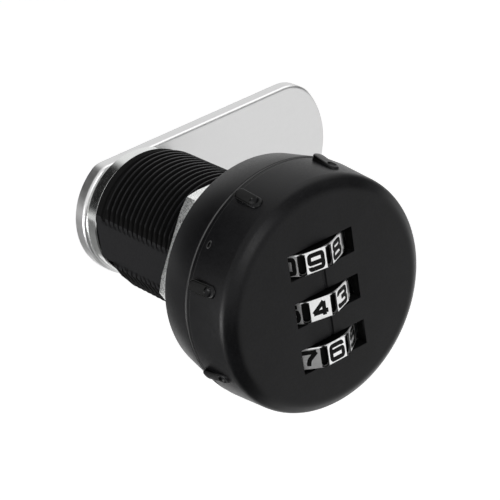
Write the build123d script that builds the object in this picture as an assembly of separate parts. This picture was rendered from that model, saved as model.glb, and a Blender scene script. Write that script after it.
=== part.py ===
from build123d import *
from math import cos, radians, sin, sqrt, tan
import os

# Three-dial combination cam lock. Millimetres, +Z up, the face looks along -Y.
# The origin is on the lock's axis, in the plane of the base's rear face, where the panel's front lies.

# Clearances
running = 0.08
sliding = 0.10
seat_gap = 0.10
dial_gap = 0.32

# Head: cap in front of the seam, fixed base behind it
rim_radius = 15.3
rim_bevel = 1.5
rim_depth = 1.15
cap_depth = 7.85
cap_draft = 0.38
cap_band = 0.6
cap_band_drop = 0.16
cap_wall = 1.8
cap_front_wall = 1.6
base_depth = 5.85
base_overhang = 0.02
base_taper = 1.1
base_wall = 2.9
base_floor = 1.6
edge_break = 0.15

# Dials and the windows that they stand in
dial_pitch = 6.45
dial_count = 3
digits = 10
dial_inradius = 5.95
dial_corner_radius = 6.2
dial_thickness = 2.9
dial_groove = 1.0
dial_groove_depth = 0.55
dial_groove_end = 0.16
dial_edge = 0.1
axle_depth = 5.0
axle_shift = -0.6
stack_drop = 0.36
window_shift = -0.13
window_width = 9.95
window_height = 3.4
index_width = 0.6
index_depth = 0.15
dial_rest_angles = [-10, -13, 1]

# Grip nubs round the cap
nub_count = 8
nub_length = 4.3
nub_setback = 0.15
nub_width = 1.6
nub_height = 0.75
nub_front_height = 0.35
nub_edge = 0.3
nub_sink = 0.5
nub_first_angle = 22.5
nub_dish_radius = 0.5

# Slot in the cap's side for the code-change tool
tool_slot_angle = 138.5
tool_slot_from_seam = 1.5
tool_slot_length = 1.2
tool_slot_width = 0.7

# Barrel over the thread's crests, with two flats, and its nut
barrel_radius = 9.5
barrel_length = 23.5
across_flats = 16.8
barrel_end_chamfer = 0.3
thread_pitch = 1.05
thread_depth = 0.45
thread_start = 0.6
thread_end_band = 1.9
thread_runout = 0.4
stop_depth = 2.6
stop_from_angle = 205
stop_to_angle = 335
panel_gap = 2.2
nut_thickness = 2.6
nut_across_flats = 21.6
nut_chamfer = 0.5
nut_turn = -0.7

# Spindle, stop washer and cam
turn_angle = 90
spindle_radius = 5.5
square_side = 7.0
stop_washer_radius = 8.7
stop_washer_thickness = 2.1
stop_tab_inner_radius = 6.3
stop_tab_play = 2
cam_thickness = 2.0
cam_width = 16.0
cam_near_bulge = 1.1
cam_reach = 32.0
cam_end_bulge = 2.8
cam_near_corner = 2.6
cam_far_corner = 5.2
cam_edge_round = 0.5
flat_washer_radius = 6.4
flat_washer_thickness = 1.0
spring_washer_radius = 4.4
spring_washer_thickness = 1.2
spring_washer_split = 0.9
screw_radius = 2.5
screw_head_radius = 4.5
screw_head_height = 2.8
screw_length = 12.0
screw_head_round = 1.2
recess_width = 1.1
recess_reach = 2.6
recess_depth = 1.6

# Code sleeves and their axle
axle_radius = 1.5
axle_seat = 1.4
sleeve_radius = 2.9
sleeve_gap = 0.05
key_height = 0.4
key_width = 0.7
key_angle = 198
gate_flange_radius = 3.75
gate_flange_thickness = 1.3
gate_width = 1.7
gate_depth = 0.85
detent_radius = 3.75
detent_height = 1.3
detent_notch = 0.3

# Locking bar
bar_thickness = 1.4
bar_width = 2.2
bar_finger = 0.9
bar_finger_width = 1.4
bar_travel = 1.1
bar_neutral_gap = 0.12
bar_nose_width = 3.2
bar_nose_tip_width = 2.2
bar_offset = 7.0
bar_end_margin = 0.5
bar_end_gap = 0.25
bar_rear_wall = 1.2
bar_nose_length = 1.2
bar_step = 0.2
bar_spring_radius = 1.0
bar_spring_wire = 0.25
bar_spring_pocket = 2.0

# Detent spring
leaf_thickness = 0.3
leaf_offset = 6.8
leaf_width = 3.0
leaf_step = 2.6
leaf_end = 0.3
leaf_finger_width = 0.9
leaf_tip_gap = 0.1

# Code-change pin behind the tool slot
pin_head_radius = 1.1
pin_head_length = 0.9
pin_shaft_radius = 0.5
pin_travel = 0.7
pin_guide = 0.6
pin_head_inset = 0.2
pin_spring_wire = 0.2
pin_reach = 2.9
pin_hole_tail = 3.0

# Screws that hold the cap to the carrier
cap_screw_radius = 0.95
cap_screw_head_radius = 1.75
cap_screw_head_height = 1.1
cap_boss_radius = 1.6
cap_boss_length = 4.0
cap_screw_edge = 0.5
cap_screw_angles = [41, 203.5]

# Levels along the lock's axis
seam_y = -base_depth
face_y = seam_y - cap_depth
rim_y = face_y + rim_depth
cap_inner_y = face_y + cap_front_wall
cap_rear_y = seam_y - seat_gap
axle_y = face_y + axle_depth
floor_y = -base_floor
carrier_rear_y = floor_y - seat_gap
carrier_front_y = cap_inner_y + seat_gap
stop_washer_y = barrel_length + seat_gap
cam_y = stop_washer_y + stop_washer_thickness
washer_y = cam_y + cam_thickness
spring_washer_y = washer_y + flat_washer_thickness
screw_head_y = spring_washer_y + spring_washer_thickness

# Radii and heights that follow
face_radius = rim_radius - rim_bevel
cap_rear_radius = rim_radius + cap_draft
base_front_radius = cap_rear_radius + base_overhang
base_rear_radius = base_front_radius - base_taper
cap_inner_radius = rim_radius - cap_wall
carrier_radius = cap_inner_radius - seat_gap
base_inner_radius = base_front_radius - base_wall
drum_radius = base_inner_radius - running
cap_screw_circle = drum_radius - cap_screw_head_radius - cap_screw_edge
pin_inner_end = carrier_radius - pin_head_inset - pin_reach
bore_radius = spindle_radius + running
thread_turns = round((barrel_length - thread_start - thread_end_band) / thread_pitch)
cam_near_radius = cam_width / 2 + cam_near_bulge
cam_end_radius = cam_width / 2 + cam_end_bulge
dial_half_facet = dial_inradius * tan(radians(180 / digits)) - dial_groove / 2
dial_outer_radius = sqrt(dial_inradius**2 + dial_half_facet**2)
relief_radius = dial_outer_radius + dial_gap
hub_radius = 7.8
hub_depth = 1.3
sleeve_bore = axle_radius + running / 2
dial_bore = sleeve_radius + sleeve_gap
flange_top = -dial_thickness / 2 - 0.3
flange_bottom = flange_top - gate_flange_thickness
dial_heights = [dial_pitch * (1 - i) - stack_drop for i in range(dial_count)]
stack_low = dial_heights[-1] - dial_pitch / 2
stack_high = dial_heights[0] + dial_pitch / 2
pocket_low = dial_heights[-1] - dial_thickness / 2 - dial_gap
pocket_high = dial_heights[0] + dial_thickness / 2 + dial_gap


def across(y):
    """A plane across the lock's axis, seen from the front: x right, y up, extruded towards the front."""
    return Plane(origin=(0, y, 0), x_dir=(1, 0, 0), z_dir=(0, -1, 0))


def turned(*points):
    """A solid of revolution about the lock's axis from (radius, y) points."""
    return revolve(make_face(Polyline(*points, close=True)), Axis.Y)


def disc(radius, y_front, y_rear):
    """A round bar on the lock's axis between two levels."""
    return extrude(across(y_rear) * Circle(radius), y_rear - y_front)


def upright(radius, z_low, z_high, x=axle_shift, y=axle_y):
    """A round bar standing along Z, by default on the dial axle."""
    return extrude(Plane.XY.offset(z_low) * Pos(x, y) * Circle(radius), z_high - z_low)


def block(x_low, x_high, y_low, y_high, z_low, z_high):
    """A box between two corners."""
    size = (x_high - x_low, y_high - y_low, z_high - z_low)
    middle = ((x_high + x_low) / 2, (y_high + y_low) / 2, (z_high + z_low) / 2)
    return Pos(*middle) * Box(*size)


def sector(radius, from_angle, to_angle):
    """A pie slice about the lock's axis, wide enough to trim with."""
    steps = 6
    angles = [from_angle + (to_angle - from_angle) * i / steps for i in range(steps + 1)]
    reach = radius / cos(radians((to_angle - from_angle) / steps / 2))
    rim = [(reach * cos(radians(a)), reach * sin(radians(a))) for a in angles]
    return make_face(Polyline((0, 0), *rim, close=True))


def coil(radius, wire, length, turns):
    """A compression spring standing on the XY plane."""
    path = Helix(pitch=(length - wire) / turns, height=length - wire, radius=radius)
    profile = Plane(origin=path @ 0, z_dir=path % 0) * RegularPolygon(wire / 2, 4)
    return Pos(0, 0, wire / 2) * sweep(profile, path, is_frenet=True)


def drop(shape, part_name):
    """Writes one piece as its own file."""
    shape.label = part_name
    export_step(shape, f"parts/{part_name}.step")


def nub():
    """One grip nub: a rounded bar along the cap's side, highest at its rear, dished near its front."""
    rear = cap_rear_y - cap_band - nub_setback
    front = rear - nub_length
    bottom = rim_radius - nub_sink
    top_rear = cap_rear_radius + nub_height
    top_front = rim_radius + nub_front_height
    foot = Plane(origin=(bottom, (rear + front) / 2, 0), x_dir=(0, 1, 0), z_dir=(1, 0, 0))
    bar = extrude(foot * SlotOverall(nub_length, nub_width), 2 * nub_height + nub_sink + 1)
    outline = ((bottom, front), (top_front, front), (top_rear, rear), (bottom, rear))
    side = make_face(Polyline(*outline, close=True))
    bar &= extrude(side, nub_width, both=True)
    bar = chamfer(bar.faces().sort_by(Axis.X)[-1].edges(), nub_edge)
    dish_y = front + nub_width * 0.62
    dish_top = top_front + (top_rear - top_front) * (dish_y - front) / nub_length
    return bar - Pos(dish_top + nub_dish_radius * 0.3, dish_y, 0) * Sphere(nub_dish_radius)


def window_cuts():
    """The three windows, and the round relief behind them that the dials turn in."""
    cuts = []
    for z in dial_heights:
        low, high = z - window_height / 2, z + window_height / 2
        left, right = window_shift - window_width / 2, window_shift + window_width / 2
        cuts.append(block(left, right, face_y - 1, cap_inner_y - 0.7, low, high))
        cuts.append(upright(relief_radius, low, high))
    for z in dial_heights[1:]:
        low = z + window_height / 2
        high = z + dial_pitch - window_height / 2
        mark = Pos(window_shift, face_y, (low + high) / 2) * Cylinder(index_width / 2, high - low)
        cuts.append(Pos(0, -(index_width / 2 - index_depth), 0) * mark)
    cuts.append(upright(gate_flange_radius + dial_gap, stack_low, stack_high))
    return cuts


def cap_screw_places():
    """Where the cap's screws stand in the face's plane."""
    turns = [radians(a) for a in cap_screw_angles]
    return [(cap_screw_circle * cos(a), cap_screw_circle * sin(a)) for a in turns]


def cap_bosses():
    """Two screw bosses inside the cap's front wall, with their pilot holes."""
    bosses = []
    for x, z in cap_screw_places():
        post = across(cap_inner_y + cap_boss_length) * Pos(x, z) * Circle(cap_boss_radius)
        bosses.append(extrude(post, cap_boss_length + cap_front_wall / 2))
    return bosses


def cap_pilots():
    pilot = Circle(cap_screw_radius + 0.05)
    foot = across(cap_inner_y + cap_boss_length)
    return [extrude(foot * Pos(x, z) * pilot, cap_boss_length) for x, z in cap_screw_places()]


def knob_cap():
    shell = turned(
        (0, face_y),
        (face_radius, face_y),
        (rim_radius, rim_y),
        (cap_rear_radius, cap_rear_y - cap_band),
        (cap_rear_radius - cap_band_drop, cap_rear_y),
        (cap_inner_radius, cap_rear_y),
        (cap_inner_radius, cap_inner_y),
        (0, cap_inner_y),
    )
    cap = shell + cap_bosses() - window_cuts() - cap_pilots()
    for i in range(nub_count):
        turn = Rot(0, -(nub_first_angle + 360 / nub_count * i), 0)
        cap += turn * nub() - disc(cap_inner_radius + 0.2, face_y, 0)
    slot_y = cap_rear_y - tool_slot_from_seam
    side = Plane(origin=(0, slot_y, 0), x_dir=(0, 1, 0), z_dir=(1, 0, 0))
    slot = extrude(side * Rot(0, 0, 90) * SlotOverall(tool_slot_length, tool_slot_width), 2 * rim_radius)
    return cap - Rot(0, -tool_slot_angle, 0) * slot


def thread_ridges():
    """Profile points of the thread as ridges, one for each turn, from the base towards the barrel's end."""
    points = []
    for i in range(thread_turns):
        middle = thread_start + thread_pitch * (i + 0.5)
        points.append((barrel_radius - thread_depth, middle - thread_pitch / 2))
        points.append((barrel_radius, middle))
    return points


def housing():
    """Fixed base and threaded barrel in one casting."""
    end_radius = barrel_radius - thread_runout
    body = turned(
        (bore_radius, hub_depth + 2 * seat_gap),
        (hub_radius + running, hub_depth + 2 * seat_gap),
        (hub_radius + running, floor_y),
        (base_inner_radius, floor_y),
        (base_inner_radius, seam_y),
        (base_front_radius - edge_break, seam_y),
        (base_front_radius, seam_y + edge_break),
        (base_rear_radius + edge_break * (base_front_radius - base_rear_radius) / base_depth, -edge_break),
        (base_rear_radius - edge_break, 0),
        (barrel_radius, 0),
        (barrel_radius, thread_start / 2),
        *thread_ridges(),
        (end_radius, thread_start + thread_pitch * thread_turns),
        (end_radius, barrel_length - barrel_end_chamfer),
        (end_radius - barrel_end_chamfer, barrel_length),
        (bore_radius, barrel_length),
    )
    for side in (-1, 1):
        flat = block(across_flats / 2, barrel_radius + 1, 0, barrel_length + 1, -barrel_radius, barrel_radius)
        body -= Rot(0, 90 - 90 * side, 0) * flat
    stop = sector(barrel_radius + 2, stop_from_angle, stop_to_angle)
    body -= extrude(across(barrel_length + 1) * stop, stop_depth + 1)
    return body - locking_notch()


def locking_notch():
    """Tapered notch in the base's inner wall that takes the locking bar's nose."""
    tip = nose_tip_x() + bar_travel + sliding
    root = base_inner_radius - 1
    slope = (bar_nose_width - bar_nose_tip_width) / 2 / bar_travel
    tip_half = bar_nose_tip_width / 2 + sliding
    root_half = tip_half + slope * (tip - root)
    outline = ((root, -root_half), (tip, -tip_half), (tip, tip_half), (root, root_half))
    return extrude(across(floor_y) * make_face(Polyline(*outline, close=True)), base_depth - base_floor + 1)


def nose_tip_x():
    """Where the nose's tip stands when the bar is drawn in, just clear of the base's wall."""
    return sqrt((base_inner_radius - bar_neutral_gap) ** 2 - (bar_nose_width / 2) ** 2) - sliding


def mounting_nut():
    corner = nut_across_flats / 2 / cos(radians(30))
    hexagon = RegularPolygon(corner, 6)
    rear = panel_gap + nut_thickness
    nut = extrude(across(rear) * Rot(0, 0, nut_turn) * hexagon, nut_thickness)
    face = corner - nut_chamfer / tan(radians(30))
    nut &= turned(
        (0, panel_gap),
        (face, panel_gap),
        (corner, panel_gap + nut_chamfer),
        (corner, rear - nut_chamfer),
        (face, rear),
        (0, rear),
    )
    return nut - disc(barrel_radius + running, panel_gap - 1, rear + 1)


def about_axle(shape, angle):
    """A shape turned about the dial axle."""
    return Pos(axle_shift, axle_y) * Rot(0, 0, angle) * Pos(-axle_shift, -axle_y) * shape


def key_bar(angle, gap, z_low, z_high):
    """The sleeve's key at an angle about the dial axle, or with a gap round it a keyway."""
    bar = block(0, sleeve_radius + key_height + gap, -key_width / 2 - gap, key_width / 2 + gap, z_low, z_high)
    return Pos(axle_shift, axle_y, 0) * Rot(0, 0, angle) * bar


def dial(z, rest_angle):
    """Ring with ten flat digit faces between grooves, ten detent notches in its upper hub, ten keyways."""
    corner = dial_inradius / cos(radians(180 / digits))
    low, high = z - dial_thickness / 2, z + dial_thickness / 2
    centre = Pos(axle_shift, axle_y)
    outline = centre * Rot(0, 0, -90 + 180 / digits) * RegularPolygon(corner, digits)
    ring = extrude(Plane.XY.offset(low) * outline, dial_thickness)
    ends = ring.faces().sort_by(Axis.Z)
    ring = chamfer(ends[-1].edges() + ends[0].edges(), dial_edge)
    ring &= upright(dial_corner_radius, low, high)
    hub = upright(detent_radius, high, high + detent_height)
    notch = Pos(detent_radius, 0) * RegularPolygon(detent_notch, 4)
    grooves = []
    notches = []
    for i in range(digits):
        angle = -90 + 360 / digits * (i + 0.5)
        wall = Plane(origin=(dial_inradius - dial_groove_depth, 0, z), x_dir=(0, 0, 1), z_dir=(1, 0, 0))
        cut = extrude(wall * SlotOverall(dial_thickness - 2 * dial_groove_end, dial_groove), dial_inradius)
        grooves.append(Pos(axle_shift, axle_y, 0) * Rot(0, 0, angle) * cut)
        notches.append(extrude(Plane.XY.offset(high) * centre * Rot(0, 0, angle) * notch, detent_height + 1))
    top = high + detent_height + 1
    bore = upright(dial_bore, low - 1, top)
    keyways = [key_bar(key_angle + 360 / digits * i, sleeve_gap, low - 1, top) for i in range(digits)]
    return about_axle(ring + hub - grooves - notches - bore - keyways, rest_angle)


def code_sleeve(z, rest_angle):
    """Sleeve inside a dial: a key for the dial's bore, and a flange with the gate for the bar's finger."""
    tube = upright(sleeve_radius, z - dial_pitch / 2 + sleeve_gap, z + dial_pitch / 2 - sleeve_gap)
    flange = upright(gate_flange_radius, z + flange_bottom, z + flange_top)
    key = key_bar(key_angle, 0, z - dial_thickness / 2, z + dial_thickness / 2)
    gate = block(
        axle_shift + gate_flange_radius - gate_depth,
        axle_shift + gate_flange_radius + 1,
        axle_y - gate_width / 2,
        axle_y + gate_width / 2,
        z + flange_bottom - 1,
        z + flange_top + 0.05,
    )
    bore = upright(sleeve_bore, z - dial_pitch, z + dial_pitch)
    return about_axle(tube + flange + key - gate - bore, rest_angle)


def dial_axle():
    return upright(axle_radius, stack_low - axle_seat, stack_high + axle_seat)


def bar_heights():
    return [z + (flange_top + flange_bottom) / 2 for z in dial_heights]


def bar_solid(gap=0.0, outward=0.0):
    """The locking bar, or with a gap round it the room that it slides in."""
    tips = axle_shift + gate_flange_radius + bar_neutral_gap
    inner = bar_offset - gap
    outer = bar_offset + bar_thickness + gap + outward
    low = min(bar_heights()) - bar_end_margin - gap
    high = max(bar_heights()) + bar_end_margin + gap
    half = bar_width / 2 + gap
    body = block(inner, outer, axle_y - half, axle_y + half, low, high)
    body &= Pos(outward - bar_travel, 0, 0) * disc(carrier_radius - bar_end_gap + gap, face_y, 0)
    for z in bar_heights():
        width = bar_finger_width / 2 + gap
        rise = bar_finger / 2 + gap
        body += block(tips - gap, bar_offset + 0.1, axle_y - width, axle_y + width, z - rise, z + rise)
    nose_half = bar_nose_width / 2 + gap
    arm_rear = carrier_rear_y - bar_rear_wall + gap
    arm_reach = base_inner_radius - bar_nose_length + outward
    step_y = seam_y + bar_step - gap
    body += block(inner, arm_reach + gap, axle_y, seam_y + bar_step + 0.1 + gap, -nose_half, nose_half)
    body += block(bar_offset + bar_thickness - gap, arm_reach + gap, step_y, arm_rear, -nose_half, nose_half)
    if outward:
        return body + block(arm_reach - 1, base_inner_radius + 1, step_y, arm_rear, -nose_half, nose_half)
    tip = nose_tip_x()
    tip_half = bar_nose_tip_width / 2
    root = tip - bar_travel
    nose = (
        (arm_reach - 1, -nose_half),
        (root, -nose_half),
        (tip, -tip_half),
        (tip, tip_half),
        (root, nose_half),
        (arm_reach - 1, nose_half),
    )
    return body + extrude(across(arm_rear) * make_face(Polyline(*nose, close=True)), arm_rear - step_y)


def bar_spring_place():
    """Spring seat in the carrier, and the face of the bar that the spring pushes outwards."""
    seat = bar_offset - bar_spring_pocket
    face = bar_offset + bar_thickness
    return seat, face, (seam_y + carrier_rear_y - bar_rear_wall + bar_step) / 2


def bar_spring():
    seat, face, y = bar_spring_place()
    spring = coil(bar_spring_radius - bar_spring_wire / 2, bar_spring_wire, face - seat - 0.02, 5)
    return Pos(seat, y, 0) * Rot(0, 90, 0) * spring


def leaf_ends():
    """Lower and upper ends of the detent spring's strip."""
    rise = dial_thickness / 2
    return dial_heights[-1] + rise - leaf_end, dial_heights[0] + rise + detent_height + leaf_end


def detent_leaf():
    """Spring strip beside the dials with one curved finger for each dial's scalloped hub."""
    x = axle_shift - leaf_offset
    strip_front = axle_y + leaf_step
    low, high = leaf_ends()
    body = block(x - leaf_thickness, x, strip_front, strip_front + leaf_width, low, high)
    tip = axle_shift - detent_radius - leaf_tip_gap
    middle = x - leaf_thickness / 2
    crown = tip - leaf_thickness / 2
    for z in dial_heights:
        centre = z + dial_thickness / 2 + detent_height / 2
        line = Spline(
            (middle, strip_front + 0.05),
            ((middle + crown) / 2 - 0.15, axle_y + 1.35),
            (crown, axle_y),
            (crown - 0.55, axle_y - 0.95),
            tangents=((0, -1), (-0.6, -1)),
        )
        finger = Plane.XY.offset(centre - leaf_finger_width / 2) * trace(line, leaf_thickness)
        body += extrude(finger, leaf_finger_width)
    return body


def radial(angle, y):
    """A plane whose normal points outwards from the lock's axis at an angle in the face's plane."""
    return Plane(origin=(0, y, 0), x_dir=(0, 1, 0), z_dir=(cos(radians(angle)), 0, sin(radians(angle))))


def tool_plane(radius):
    return radial(tool_slot_angle, cap_rear_y - tool_slot_from_seam).offset(radius)


def code_change_pin():
    head_inner = carrier_radius - pin_head_inset - pin_head_length
    shaft = extrude(tool_plane(pin_inner_end) * Circle(pin_shaft_radius), head_inner - pin_inner_end + 0.1)
    head = extrude(tool_plane(head_inner) * Circle(pin_head_radius), pin_head_length)
    return shaft + chamfer(head.edges().filter_by(GeomType.CIRCLE).sort_by(SortBy.LENGTH)[-1], 0.15)


def pin_spring_seat():
    return pin_inner_end + pin_guide


def code_change_spring():
    seat = pin_spring_seat()
    length = carrier_radius - pin_head_inset - pin_head_length - seat - 0.02
    spring = coil(pin_shaft_radius + 0.1 + pin_spring_wire / 2, pin_spring_wire, length, 4)
    return tool_plane(seat + 0.01).location * spring


def dial_carrier():
    """Turning core: drum with the dial pocket, the bar's slide and the spindle down the barrel."""
    core = turned(
        (0, carrier_front_y),
        (carrier_radius, carrier_front_y),
        (carrier_radius, cap_rear_y - seat_gap),
        (drum_radius, cap_rear_y - seat_gap),
        (drum_radius, carrier_rear_y),
        (hub_radius, carrier_rear_y),
        (hub_radius, hub_depth),
        (spindle_radius, hub_depth),
        (spindle_radius, stop_washer_y),
        (0, stop_washer_y),
    )
    square_y = washer_y - 0.2
    square = extrude(across(square_y) * Rectangle(square_side, square_side), square_y - stop_washer_y + 1)
    core += chamfer(square.faces().sort_by(Axis.Y)[-1].edges(), 0.3)
    pocket = upright(relief_radius, pocket_low, pocket_high)
    left, right = axle_shift - relief_radius, axle_shift + relief_radius
    pocket += block(left, right, carrier_front_y - 1, axle_y, pocket_low, pocket_high)
    flange_room = gate_flange_radius + dial_gap
    pocket += upright(flange_room, stack_low, stack_high)
    left, right = axle_shift - flange_room, axle_shift + flange_room
    pocket += block(left, right, carrier_front_y - 1, axle_y, stack_low, stack_high)
    core -= pocket
    core -= upright(axle_radius + 0.02, stack_low - axle_seat, carrier_radius + 1)
    core -= bar_solid(sliding, bar_travel)
    seat, face, y = bar_spring_place()
    spring_hole = Plane(origin=(seat, y, 0), z_dir=(1, 0, 0)) * Circle(bar_spring_radius + 0.08)
    core -= extrude(spring_hole, face - seat)
    x = axle_shift - leaf_offset
    strip_rear = axle_y + leaf_step + leaf_width
    low, high = leaf_ends()
    left, right = x - leaf_thickness - 0.05, x + 0.05
    core -= block(left, right, axle_y - 1, strip_rear + 0.05, low - 0.05, high + 0.05)
    finger_x = axle_shift - gate_flange_radius
    half = leaf_finger_width / 2 + sliding
    for z in dial_heights:
        centre = z + dial_thickness / 2 + detent_height / 2
        core -= block(x, finger_x, axle_y - 1.5, axle_y + leaf_step + 1, centre - half, centre + half)
    core -= extrude(tool_plane(pin_spring_seat()) * Circle(pin_head_radius + 0.05), carrier_radius)
    core -= extrude(tool_plane(pin_inner_end - pin_hole_tail) * Circle(pin_shaft_radius + 0.05), carrier_radius)
    for x, z in cap_screw_places():
        boss = across(cap_inner_y + cap_boss_length + 0.1) * Pos(x, z) * Circle(cap_boss_radius + 0.1)
        core -= extrude(boss, cap_boss_length + 1)
        core -= extrude(across(0) * Pos(x, z) * Circle(cap_screw_radius + 0.15), base_depth + cap_depth)
        head = across(0) * Pos(x, z) * Circle(cap_screw_head_radius + 0.1)
        core -= extrude(head, cap_screw_head_height - carrier_rear_y + 0.1)
    thread = across(washer_y + 1) * Circle(screw_radius)
    return core - extrude(thread, screw_length)


def cap_screws():
    screws = []
    head_y = carrier_rear_y - 0.1
    shank_rear = head_y - cap_screw_head_height + 0.1
    shank_length = shank_rear - cap_inner_y - 0.4
    reach = cap_screw_head_radius
    for x, z in cap_screw_places():
        shank = extrude(across(shank_rear) * Pos(x, z) * Circle(cap_screw_radius), shank_length)
        head = extrude(across(head_y) * Pos(x, z) * Circle(reach), cap_screw_head_height)
        slot = block(x - reach, x + reach, head_y - 0.5, head_y + 1, z - 0.22, z + 0.22)
        screws.append(shank + head - slot)
    return Compound(children=screws)


def square_hole(y_front, y_rear):
    side = square_side + 2 * sliding
    return extrude(across(y_rear + 1) * Rectangle(side, side), y_rear - y_front + 2)


def stop_washer():
    plate = disc(stop_washer_radius, stop_washer_y, cam_y - 0.02)
    plate = chamfer(plate.edges().filter_by(GeomType.CIRCLE), edge_break)
    middle = (stop_from_angle + stop_to_angle + turn_angle) / 2
    half = (stop_to_angle - stop_from_angle - turn_angle) / 2 - stop_tab_play
    ring = Circle(stop_washer_radius - 0.3) - Circle(stop_tab_inner_radius)
    tab = ring & sector(stop_washer_radius + 1, middle - half, middle + half)
    tab = extrude(across(stop_washer_y + 0.5) * tab, stop_depth + 0.5 - 2 * seat_gap)
    return plate + tab - square_hole(stop_washer_y - stop_depth, cam_y)


def cam():
    """Flat cam plate: round at the spindle, straight edges, softly squared far end."""
    half = cam_width / 2
    bar = Pos((cam_reach - cam_near_radius) / 2, 0) * Rectangle(cam_reach + cam_near_radius, cam_width)
    near = Circle(cam_near_radius) + Pos(cam_reach / 2, 0) * Rectangle(cam_reach, cam_width)
    far_centre = cam_reach - cam_end_radius
    straight = Rectangle(far_centre + cam_near_radius, cam_width)
    far = Pos(far_centre, 0) * Circle(cam_end_radius) + Pos((far_centre - cam_near_radius) / 2, 0) * straight
    outline = (bar & near & far).face()
    near_x = -sqrt(cam_near_radius**2 - half**2)
    near_corners = [v for v in outline.vertices() if abs(v.X - near_x) < 0.01]
    outline = fillet(near_corners, cam_near_corner)
    far_corners = [v for v in outline.vertices() if v.X > far_centre + 1 and abs(v.Y) > half - 0.01]
    outline = fillet(far_corners, cam_far_corner)
    plate = extrude(across(washer_y - 0.02) * outline, cam_thickness - 0.02)
    plate = fillet(plate.faces().sort_by(Axis.Y)[0].edges(), cam_edge_round)
    return plate - square_hole(cam_y, washer_y)


def flat_washer():
    ring = disc(flat_washer_radius, washer_y, spring_washer_y - 0.02)
    ring -= disc(screw_radius + 0.2, washer_y - 1, spring_washer_y + 1)
    return chamfer(ring.edges().filter_by(GeomType.CIRCLE).group_by(SortBy.LENGTH)[-1], edge_break)


def spring_washer():
    ring = disc(spring_washer_radius, spring_washer_y, screw_head_y - 0.02)
    ring -= disc(screw_radius + 0.1, spring_washer_y - 1, screw_head_y + 1)
    half = spring_washer_split / 2
    depth = spring_washer_thickness + 1
    slit = block(0, spring_washer_radius + 1, -depth, depth, -half, half)
    return ring - Pos(0, (spring_washer_y + screw_head_y) / 2, 0) * Rot(25, 0, 0) * slit


def cam_screw():
    shank = disc(screw_radius - 0.05, screw_head_y - screw_length, screw_head_y + 0.1)
    top = screw_head_y + screw_head_height
    head = disc(screw_head_radius, screw_head_y, top)
    head = fillet(head.edges().filter_by(GeomType.CIRCLE).sort_by(Axis.Y)[-1], screw_head_round)
    cross = Rectangle(2 * recess_reach, recess_width) + Rectangle(recess_width, 2 * recess_reach)
    recess = extrude(across(top + 0.1) * cross, recess_depth + 0.1)
    return shank + head - recess


os.makedirs("parts", exist_ok=True)
drop(housing(), "housing")
drop(mounting_nut(), "mounting_nut")
drop(knob_cap(), "knob_cap")
drop(dial_carrier(), "dial_carrier")
drop(cap_screws(), "cap_screws")
drop(dial_axle(), "dial_axle")
for name, z, angle in zip(("top", "middle", "bottom"), dial_heights, dial_rest_angles):
    drop(dial(z, angle), f"dial_{name}")
    drop(code_sleeve(z, angle), f"code_sleeve_{name}")
drop(detent_leaf(), "detent_spring")
drop(bar_solid(), "locking_bar")
drop(bar_spring(), "locking_bar_spring")
drop(code_change_pin(), "code_change_pin")
drop(code_change_spring(), "code_change_spring")
drop(stop_washer(), "stop_washer")
drop(cam(), "cam")
drop(flat_washer(), "flat_washer")
drop(spring_washer(), "spring_washer")
drop(cam_screw(), "cam_screw")
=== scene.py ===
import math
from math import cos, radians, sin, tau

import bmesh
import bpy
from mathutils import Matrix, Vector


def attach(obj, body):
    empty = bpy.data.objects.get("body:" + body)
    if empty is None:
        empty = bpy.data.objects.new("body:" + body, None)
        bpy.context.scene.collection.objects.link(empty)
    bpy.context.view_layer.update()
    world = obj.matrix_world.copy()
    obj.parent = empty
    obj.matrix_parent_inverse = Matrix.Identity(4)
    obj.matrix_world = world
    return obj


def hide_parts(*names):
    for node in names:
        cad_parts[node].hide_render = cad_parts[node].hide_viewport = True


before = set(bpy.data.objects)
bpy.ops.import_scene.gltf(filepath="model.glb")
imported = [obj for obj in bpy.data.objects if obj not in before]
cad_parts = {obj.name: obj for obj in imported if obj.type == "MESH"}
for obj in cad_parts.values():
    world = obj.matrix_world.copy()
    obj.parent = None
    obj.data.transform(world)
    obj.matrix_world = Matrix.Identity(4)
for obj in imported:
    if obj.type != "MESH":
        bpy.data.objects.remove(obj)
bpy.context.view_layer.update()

# %% [markdown]
# # A three-dial combination cam lock
# A keyless lock for a locker door: a round black knob with three digit dials in windows, a fixed
# base, a threaded barrel with two flats, a hex nut, and a flat steel cam on the end. The solids of
# the part are already loaded in metres. This lesson gives them their finishes and remodels the
# pieces whose edges, thread and digits carry the look.

MM = 0.001

# %% [markdown]
# An operator works on whatever is selected, so each helper first selects exactly one piece. Faces
# and edges are then picked by their place and direction, the way a hand would pick them in the
# viewport.

# %% Selecting
def only(piece):
    """Selects one piece and makes it active."""
    if bpy.context.object and bpy.context.object.mode != "OBJECT":
        bpy.ops.object.mode_set(mode="OBJECT")
    bpy.ops.object.select_all(action="DESELECT")
    piece.select_set(True)
    bpy.context.view_layer.objects.active = piece
    return piece


def edit(piece, kind="VERT"):
    """Opens one piece in edit mode with nothing picked."""
    only(piece)
    bpy.ops.object.mode_set(mode="EDIT")
    bpy.ops.mesh.select_mode(type=kind)
    bpy.ops.mesh.select_all(action="DESELECT")


def pick(piece, kind, test):
    """Selects the edges whose direction, or the faces whose normal, passes a test."""
    mesh = bmesh.from_edit_mesh(piece.data)
    for item in mesh.edges if kind == "EDGE" else mesh.faces:
        if kind == "EDGE":
            direction = (item.verts[1].co - item.verts[0].co).normalized()
        else:
            direction = item.normal
        if test(direction):
            item.select_set(True)
    mesh.select_flush_mode()
    bmesh.update_edit_mesh(piece.data)


def close_edit():
    bpy.ops.object.mode_set(mode="OBJECT")


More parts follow.
